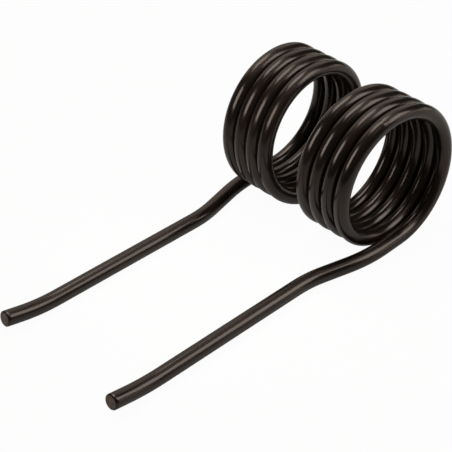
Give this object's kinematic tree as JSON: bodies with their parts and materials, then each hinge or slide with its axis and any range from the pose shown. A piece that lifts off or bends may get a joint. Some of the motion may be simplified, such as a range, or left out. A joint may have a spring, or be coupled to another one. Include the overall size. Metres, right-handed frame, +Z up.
{
  "type": "baler pick-up tine",
  "caption": "Double torsion spring bent from round wire: close-wound coils joined by a hairpin, each ending in a long prong with a turned-up tip.",
  "frame": {"origin": "middle of the coil axis, where the tine bar's centre line runs", "axes": "+X along the coil axis from the left coil to the right one, prongs towards -Y, +Z up as the tine lies at rest"},
  "size_m": [0.0744, 0.1658, 0.0584],
  "materials": {
    "painted_wire": "gloss"
  },
  "bodies": {
    "root": {"tine": "painted_wire"}
  },
  "joints": []
}
